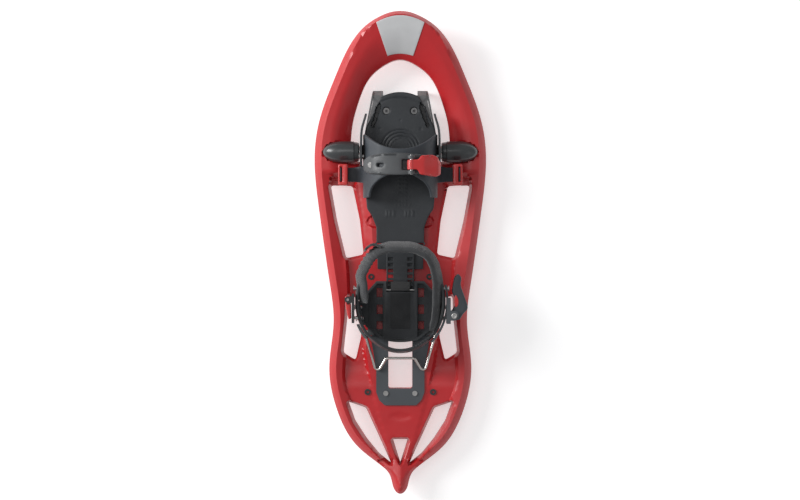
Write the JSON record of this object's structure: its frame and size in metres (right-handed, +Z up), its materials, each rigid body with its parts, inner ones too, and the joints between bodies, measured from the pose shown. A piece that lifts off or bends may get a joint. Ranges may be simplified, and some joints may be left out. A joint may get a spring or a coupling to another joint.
{
  "type": "snowshoe",
  "caption": "Moulded snowshoe with a boot binding that pivots on a cross axle, a length-adjusting heel plate, ratchet straps, claws and a climbing wire.",
  "frame": {"origin": "centre of the bounding box in plan, on the ground plane under the spike and claw tips", "axes": "+X to the wearer's right, +Y towards the nose, +Z up"},
  "size_m": [0.2182, 0.61, 0.1191],
  "materials": {
    "deck_red": "moulded, semi gloss",
    "badge_silver": "silver foil badge",
    "slate_plastic": "satin slate grey",
    "steel": "hardened steel",
    "dark_steel": "blackened steel",
    "black_plastic": "black",
    "cap_plastic": "dark grey gloss",
    "plate_plastic": "dark grey grained",
    "flap_rubber": "slate grey flexible",
    "red_plastic": "bright red gloss",
    "grey_plastic": "mid grey satin",
    "hoop_rubber": "dark flexible",
    "strap_foam": "padded, woven face",
    "chrome_wire": "polished",
    "pad_rubber": "black grippy"
  },
  "bodies": {
    "deck": {"deck": "deck_red", "nose_badge": "badge_silver", "wear_plate": "slate_plastic", "wear_plate_screws": "steel", "spikes": "steel", "spike_plugs": "black_plastic", "heel_rest_pads": "pad_rubber", "axle_rod": "steel", "axle_cap_right": "cap_plastic", "axle_cap_left": "cap_plastic", "axle_bush_right": "black_plastic", "axle_bush_left": "black_plastic", "axle_washer_right": "steel", "axle_washer_left": "steel"},
    "binding": {"toe_plate": "plate_plastic", "claw": "dark_steel", "claw_screws": "dark_steel", "claw_nuts": "steel", "forefoot_flap": "flap_rubber", "wing_right": "plate_plastic", "wing_left": "plate_plastic", "wing_rivets": "steel", "keeper_right": "red_plastic", "keeper_left": "red_plastic", "toe_buckle": "grey_plastic", "toe_buckle_rivet": "steel", "toe_buckle_pin": "steel", "toe_ladder": "black_plastic", "toe_ladder_rivet": "steel"},
    "toe_lever": {"toe_lever": "red_plastic"},
    "heel": {"heel_plate": "plate_plastic", "heel_pad": "pad_rubber", "heel_hoop": "hoop_rubber", "hoop_rivets": "steel", "strap_rivets": "steel", "strap_clip": "grey_plastic", "ankle_strap": "strap_foam", "length_tab_pin": "steel", "ankle_ladder": "slate_plastic", "ankle_buckle": "slate_plastic", "ankle_pin": "steel", "lock_body": "black_plastic", "lock_rivet": "steel", "lock_pin": "steel"},
    "riser": {"riser": "chrome_wire"},
    "length_tab": {"length_tab": "black_plastic"},
    "ankle_lever": {"ankle_lever": "slate_plastic"},
    "lock_lever": {"lock_lever": "red_plastic"}
  },
  "joints": [
    {"name": "binding_pivot", "type": "hinge", "parent": "deck", "child": "binding", "pos_m": [0, 0.1286, 0.036], "axis": [-1, 0, 0], "range_deg": [0, 60]},
    {"name": "heel_length_slide", "type": "slide", "parent": "binding", "child": "heel", "axis": [0, -1, 0], "range_m": [-0.012, 0.03]},
    {"name": "riser_swing", "type": "hinge", "parent": "heel", "child": "riser", "pos_m": [0, -0.0983, 0.038], "axis": [1, 0, 0], "range_deg": [0, 105]},
    {"name": "length_tab_pivot", "type": "hinge", "parent": "heel", "child": "length_tab", "pos_m": [0, -0.046, 0.044], "axis": [1, 0, 0], "range_deg": [0, 35], "stiffness_Nm_per_rad": 0.02, "springref_deg": -11.46},
    {"name": "toe_lever_pivot", "type": "hinge", "parent": "binding", "child": "toe_lever", "pos_m": [0.0136, 0.1095, 0.1025], "axis": [0, -1, 0], "range_deg": [0, 75]},
    {"name": "ankle_lever_pivot", "type": "hinge", "parent": "heel", "child": "ankle_lever", "pos_m": [0.0668, -0.0772, 0.08], "axis": [0, 0, -1], "range_deg": [0, 60]},
    {"name": "lock_lever_pivot", "type": "hinge", "parent": "heel", "child": "lock_lever", "pos_m": [-0.065, -0.057, 0.085], "axis": [0, 0, -1], "range_deg": [0, 50]}
  ],
  "couplings": [
    {"joint": "riser_swing", "follows": "binding_pivot", "ratio": 1.6667}
  ]
}
